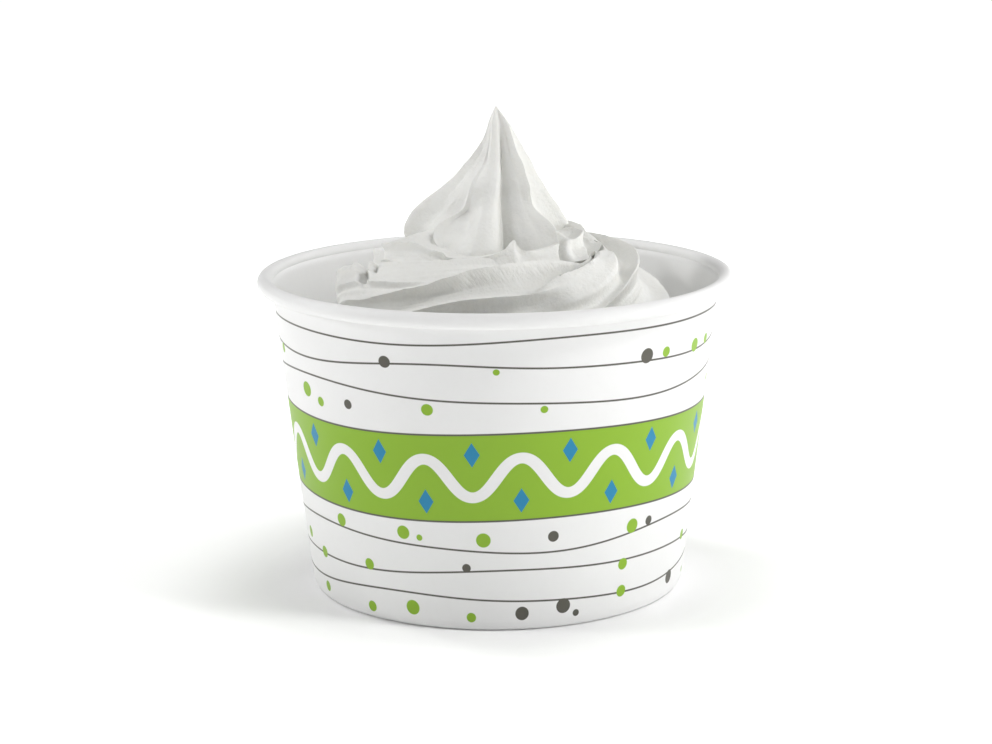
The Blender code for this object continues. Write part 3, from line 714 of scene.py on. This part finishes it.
def wall_print(n, coords, white, mottle):
    """A plain pattern round the wall: pinstripes, a green band with a white
    wave and blue lozenges, and scattered small dots."""
    xyz = n.add("ShaderNodeSeparateXYZ")
    n.put(xyz.inputs[0], coords)
    x, y, z = xyz.outputs
    z = n.math("MULTIPLY", z, 1000.0)
    # turn away from the front, in radians; it breaks at the back seam
    turn = n.math("ARCTAN2", x, n.math("MULTIPLY", y, -1.0))
    radius = n.math("SQRT", n.math("ADD", n.math("MULTIPLY", x, x), n.math("MULTIPLY", y, y)))
    radius = n.math("MULTIPLY", radius, 1000.0)

    def wave(count, phase, size):
        a = n.math("ADD", n.math("MULTIPLY", turn, float(count)), float(phase))
        return n.math("MULTIPLY", n.math("SINE", a), float(size))

    # only the outer face is printed, up to the roll and down to the foot
    outer = n.math("SUBTRACT", radius, n.math("ADD", n.math("MULTIPLY", z, (NECK_R - FOOT_R) / (RIM_MID_Z - 1.0)), FOOT_R))
    face = n.math("MULTIPLY", n.step(outer, -0.30, -0.24), n.math("SUBTRACT", 1.0, n.step(z, 61.9, 62.0)))
    soft = 0.05

    green = (0.255, 0.455, 0.022, 1)
    blue = (0.010, 0.225, 0.420, 1)
    grey = (0.095, 0.090, 0.072, 1)

    ink = None

    def lay(base, mask, colour):
        nonlocal ink
        mask = n.math("MULTIPLY", mask, face)
        ink = mask if ink is None else n.math("MAXIMUM", ink, mask)
        shade = n.mix(n.math("MULTIPLY", mottle, 0.10), colour,
                      (*[min(1.0, c * 0.8) for c in colour[:3]], 1))
        return n.mix(mask, base, shade)

    def between(value, low, high):
        return n.math("MULTIPLY",
                      n.step(n.math("SUBTRACT", value, low), -soft, soft),
                      n.step(n.math("SUBTRACT", high, value), -soft, soft))

    base = white
    # green band
    low = n.math("ADD", 23.0, wave(3, 0.4, 0.5))
    high = n.math("ADD", 40.5, wave(3, 0.9, 0.6))
    base = lay(base, between(z, low, high), green)
    # white wave through it
    mid = n.math("ADD", n.math("MULTIPLY", n.math("ADD", low, high), 0.5), wave(14, 0.0, 3.9))
    half = n.math("ADD", 1.55, wave(28, 1.5708, 0.45))
    ribbon = between(z, n.math("SUBTRACT", mid, half), n.math("ADD", mid, half))
    base = n.mix(n.math("MULTIPLY", ribbon, face), base, white)
    # blue lozenges in its hollows
    beat = n.math("MULTIPLY", turn, 14.0 / math.pi)
    beat = n.math("SUBTRACT", beat, 0.5)
    near = n.math("ROUND", beat)
    off = n.math("MULTIPLY", n.math("ABSOLUTE", n.math("SUBTRACT", beat, near)), math.pi / 14.0)
    across = n.math("MULTIPLY", off, radius)
    odd = n.math("ABSOLUTE", n.math("MODULO", near, 2.0))
    centre = n.math("ADD", n.math("MULTIPLY", n.math("ADD", low, high), 0.5),
                    n.math("SUBTRACT", n.math("MULTIPLY", odd, 9.6), 4.8))
    up = n.math("ABSOLUTE", n.math("SUBTRACT", z, centre))
    size = n.math("ADD", n.math("DIVIDE", across, 1.55), n.math("DIVIDE", up, 2.5))
    base = lay(base, n.math("SUBTRACT", 1.0, n.step(size, 0.97, 1.03)), blue)
    # pinstripes
    for level, count, phase, size in ((59.0, 2, 0.2, 0.9), (53.6, 3, 1.9, 1.0),
                                      (47.4, 2, 3.4, 1.3), (17.4, 3, 4.4, 1.0),
                                      (11.6, 2, 0.9, 1.2), (6.2, 3, 2.6, 0.9)):
        line = n.math("ADD", level, wave(count, phase, size))
        line = n.math("ADD", line, wave(count + 3, phase * 2, size * 0.25))
        base = lay(base, between(z, n.math("SUBTRACT", line, 0.19), n.math("ADD", line, 0.19)), grey)
    for line in (low, high):
        base = lay(base, between(z, n.math("SUBTRACT", line, 0.19), n.math("ADD", line, 0.19)), grey)
    # scattered dots
    cell = 8.2
    place = n.add("ShaderNodeCombineXYZ")
    n.put(place.inputs[0], n.math("MULTIPLY", turn, 42.4 / cell))
    n.put(place.inputs[1], n.math("DIVIDE", z, cell))
    dots = n.add("ShaderNodeTexVoronoi", voronoi_dimensions="2D", feature="F1")
    n.put(dots.inputs["Vector"], place.outputs[0])
    dots.inputs["Scale"].default_value = 1.0
    dots.inputs["Randomness"].default_value = 0.72
    rgb = n.add("ShaderNodeSeparateColor")
    n.put(rgb.inputs[0], dots.outputs["Color"])
    spot = n.add("ShaderNodeSeparateXYZ")
    n.put(spot.inputs[0], dots.outputs["Position"])
    spot_z = n.math("MULTIPLY", spot.outputs[1], cell)
    clear = n.math("ADD",
                   n.math("MULTIPLY", n.math("GREATER_THAN", spot_z, 43.5), n.math("LESS_THAN", spot_z, 59.5)),
                   n.math("MULTIPLY", n.math("GREATER_THAN", spot_z, 2.6), n.math("LESS_THAN", spot_z, 20.2)))
    some = n.math("MULTIPLY", clear, n.math("GREATER_THAN", rgb.outputs[1], 0.42))
    dist = n.math("MULTIPLY", dots.outputs["Distance"], cell)
    dot_r = n.math("ADD", 0.62, n.math("MULTIPLY", rgb.outputs[0], 0.95))
    gap = n.math("SUBTRACT", dot_r, dist)
    dot = n.math("MULTIPLY", n.step(gap, -soft, soft), some)
    dark = n.math("GREATER_THAN", rgb.outputs[2], 0.64)
    base = lay(base, n.math("MULTIPLY", dot, n.math("SUBTRACT", 1.0, dark)), green)
    base = lay(base, n.math("MULTIPLY", dot, dark), grey)
    return base, ink


def yogurt_material():
    n = Nodes("soft_serve_yogurt")
    coords = n.add("ShaderNodeTexCoord").outputs["Object"]
    xyz = n.add("ShaderNodeSeparateXYZ")
    n.put(xyz.inputs[0], coords)
    x, y, z = xyz.outputs
    grain = n.noise(coords, 1900.0, 4.0, 0.6)
    pits = n.noise(coords, 700.0, 3.0, 0.55)
    cloud = n.noise(coords, 60.0, 3.0, 0.5)
    # short strokes slanting across the wide coil's hollow at the front
    turn = n.math("ARCTAN2", x, n.math("MULTIPLY", y, -1.0))
    slant = n.add("ShaderNodeCombineXYZ")
    n.put(slant.inputs[0], n.math("ADD", n.math("MULTIPLY", turn, 26.0), n.math("MULTIPLY", z, 600.0)))
    n.put(slant.inputs[1], n.math("MULTIPLY", z, 330.0))
    strokes = n.noise(slant.outputs[0], 1.0, 3.0, 0.6)
    above = n.math("SUBTRACT", z, n.math("ADD", 0.0660, n.math("MULTIPLY", turn, 0.0052)))
    here = n.math("MULTIPLY", n.step(above, -0.0002, 0.0009), n.step(z, 0.0712, 0.0702))
    here = n.math("MULTIPLY", here, n.math("MULTIPLY", n.step(turn, -0.62, -0.35), n.step(turn, 0.66, 0.50)))
    base = n.mix(n.step(cloud, 0.3, 0.7), (0.795, 0.795, 0.765, 1), (0.825, 0.825, 0.800, 1))
    base = n.mix(n.math("MULTIPLY", n.step(pits, 0.50, 0.75), 0.16), base, (0.68, 0.67, 0.63, 1))
    n.put(n.bsdf.inputs["Base Color"], base)
    n.put(n.bsdf.inputs["Roughness"], n.math("ADD", 0.46, n.math("MULTIPLY", pits, 0.16)))
    n.bsdf.inputs["Specular IOR Level"].default_value = 0.30
    n.bsdf.inputs["Subsurface Weight"].default_value = 0.12
    n.bsdf.inputs["Subsurface Radius"].default_value = (1.0, 0.9, 0.75)
    n.bsdf.inputs["Subsurface Scale"].default_value = 0.0015
    height = n.math("ADD", n.math("MULTIPLY", grain, 0.55), pits)
    fine = n.bump(height, 0.55, 0.00035)
    amount = n.math("MULTIPLY", n.math("MULTIPLY", strokes, here), 1.0)
    n.put(n.bsdf.inputs["Normal"], n.bump(amount, 0.40, 0.0007, fine))
    return n.mat


def floor_material():
    """Pale floor that glows: painted light from its own emission, which rises away from the cup so that the
    floor looks like a lit white sweep and its cast shadows fill in, leaving a soft contact shadow by the foot.
    """
    n = Nodes("studio_floor")
    coords = n.add("ShaderNodeTexCoord").outputs["Object"]
    cloud = n.noise(coords, 3.0, 2.0, 0.5)
    n.put(n.bsdf.inputs["Base Color"],
          n.mix(cloud, (0.92, 0.92, 0.92, 1), (0.93, 0.93, 0.93, 1)))
    n.bsdf.inputs["Roughness"].default_value = 0.9
    n.bsdf.inputs["Specular IOR Level"].default_value = 0.1
    xyz = n.add("ShaderNodeSeparateXYZ")
    n.put(xyz.inputs[0], coords)
    x, y, _ = xyz.outputs
    far = n.math("SQRT", n.math("ADD", n.math("MULTIPLY", x, x), n.math("MULTIPLY", y, y)))
    # painted light: the floor's own glow, rising from 0.14 m to 0.75 m from the cup, which brightens it to
    # white and fills in cast shadows there
    glow = n.add("ShaderNodeMapRange", interpolation_type="SMOOTHSTEP")
    for socket, value in (("From Min", 0.14), ("From Max", 0.75), ("To Min", 0.0), ("To Max", 0.64)):
        glow.inputs[socket].default_value = value
    n.put(glow.inputs["Value"], far)
    # painted light: a weaker glow rising just outside the foot, which lifts the cast shadow there so that only
    # a thin contact shadow stays
    near = n.add("ShaderNodeMapRange", interpolation_type="SMOOTHSTEP")
    for socket, value in (("From Min", 0.040), ("From Max", 0.076), ("To Min", 0.0), ("To Max", 0.36)):
        near.inputs[socket].default_value = value
    n.put(near.inputs["Value"], far)
    # the two glows together are emission, painted light added on top of the floor's lit colour
    n.bsdf.inputs["Emission Color"].default_value = (1, 1, 1, 1)
    n.put(n.bsdf.inputs["Emission Strength"],
          n.math("ADD", glow.outputs["Result"], near.outputs["Result"]))
    return n.mat


# ================================================================== build
paper_mat = paper_material("coated_board_printed", (0.845, 0.845, 0.838), True)
board_mat = paper_material("coated_board_plain", (0.83, 0.826, 0.812), False)
yogurt_mat = yogurt_material()

side = make_cup_side()
side.data.materials.append(paper_mat)
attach(side, "root")
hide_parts("cup_side")

base = make_cup_base()
base.data.materials.append(board_mat)
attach(base, "root")
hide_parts("cup_base")

yogurt = make_yogurt()
yogurt.data.materials.clear()
yogurt.data.materials.append(yogurt_mat)
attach(yogurt, "root")
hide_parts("yogurt")

# ---------------------------------------------------------------- studio
bm = bmesh.new()
bmesh.ops.create_grid(bm, x_segments=8, y_segments=8, size=6.0)
floor_mesh = bpy.data.meshes.new("floor")
bm.to_mesh(floor_mesh)
bm.free()
floor = link("floor", floor_mesh)
floor.data.materials.append(floor_material())


def area_light(name, place, target, size, energy, colour=(1, 1, 1)):
    lamp = bpy.data.lights.new(name, "AREA")
    lamp.shape = "RECTANGLE"
    lamp.size, lamp.size_y = size
    lamp.energy = energy
    lamp.color = colour
    obj = bpy.data.objects.new(name, lamp)
    bpy.context.scene.collection.objects.link(obj)
    obj.location = place
    obj.rotation_mode = "QUATERNION"
    aim = Vector(target) - Vector(place)
    obj.rotation_quaternion = aim.to_track_quat("-Z", "Y")
    return obj


LIGHTS = (
    ("key", (0.65, -0.35, 0.40), (0.45, 0.45), 0.98),
    ("front", (0.0, -0.95, 0.55), (0.50, 0.40), 0.72),
    ("side_right", (0.80, 0.05, 0.22), (0.70, 0.50), 2.25),
    ("side_left", (-0.75, -0.05, 0.35), (0.15, 0.15), 1.90),
    ("back_right", (0.50, 0.60, 0.50), (0.50, 0.50), 2.22),
    ("back_left", (-0.45, 0.30, 0.55), (0.15, 0.15), 1.38),
    ("top_left", (-0.45, -0.10, 0.75), (0.40, 0.40), 0.80),
    ("top_right", (0.45, -0.10, 0.75), (0.40, 0.40), 0.69),
    ("high_right", (0.40, -0.25, 0.65), (0.12, 0.12), 1.85),
)
for label, place, size, energy in LIGHTS:
    area_light(label, place, (0, 0, 0.06), size, energy)

world = bpy.data.worlds.new("studio")
bpy.context.scene.world = world
world.use_nodes = True
sky = world.node_tree
sky_way = sky.nodes.new("ShaderNodeSeparateXYZ")
sky.links.new(sky.nodes.new("ShaderNodeTexCoord").outputs["Generated"], sky_way.inputs[0])
sky_up = sky.nodes.new("ShaderNodeMath")
sky_up.operation = "ABSOLUTE"
sky.links.new(sky_way.outputs[2], sky_up.inputs[0])
sky_level = sky.nodes.new("ShaderNodeMapRange")
sky_level.interpolation_type = "SMOOTHSTEP"
for socket, value in (("From Min", 0.01), ("From Max", 0.10), ("To Min", 1.0), ("To Max", 0.01)):
    sky_level.inputs[socket].default_value = value
sky.links.new(sky_up.outputs[0], sky_level.inputs["Value"])
sky.nodes["Background"].inputs["Color"].default_value = (1, 1, 1, 1)
sky.links.new(sky_level.outputs["Result"], sky.nodes["Background"].inputs["Strength"])
bpy.context.scene.view_settings.view_transform = "Standard"

# ---------------------------------------------------------------- camera
DISTANCE = 0.522047          # from the foot's centre
HEIGHT_ANGLE = 0.2999        # above the table, radians
PITCH = 0.2183               # how far the view looks down, radians
ROLL = -0.0092
LENS = 89.21                 # mm on a 36 mm sensor

camera = bpy.data.objects.new("camera", bpy.data.cameras.new("camera"))
bpy.context.scene.collection.objects.link(camera)
camera.data.sensor_width = 36.0
camera.data.lens = LENS
camera.data.clip_start = 0.01
eye = Vector((0, -DISTANCE * math.cos(HEIGHT_ANGLE), DISTANCE * math.sin(HEIGHT_ANGLE)))
ahead = Vector((0, math.cos(PITCH), -math.sin(PITCH)))
right = ahead.cross(Vector((0, 0, 1))).normalized()
up = right.cross(ahead)
right, up = (right * math.cos(ROLL) + up * math.sin(ROLL),
             up * math.cos(ROLL) - right * math.sin(ROLL))
camera.matrix_world = Matrix(((right.x, up.x, -ahead.x, eye.x),
                              (right.y, up.y, -ahead.y, eye.y),
                              (right.z, up.z, -ahead.z, eye.z),
                              (0, 0, 0, 1)))
bpy.context.scene.camera = camera

bpy.context.view_layer.update()
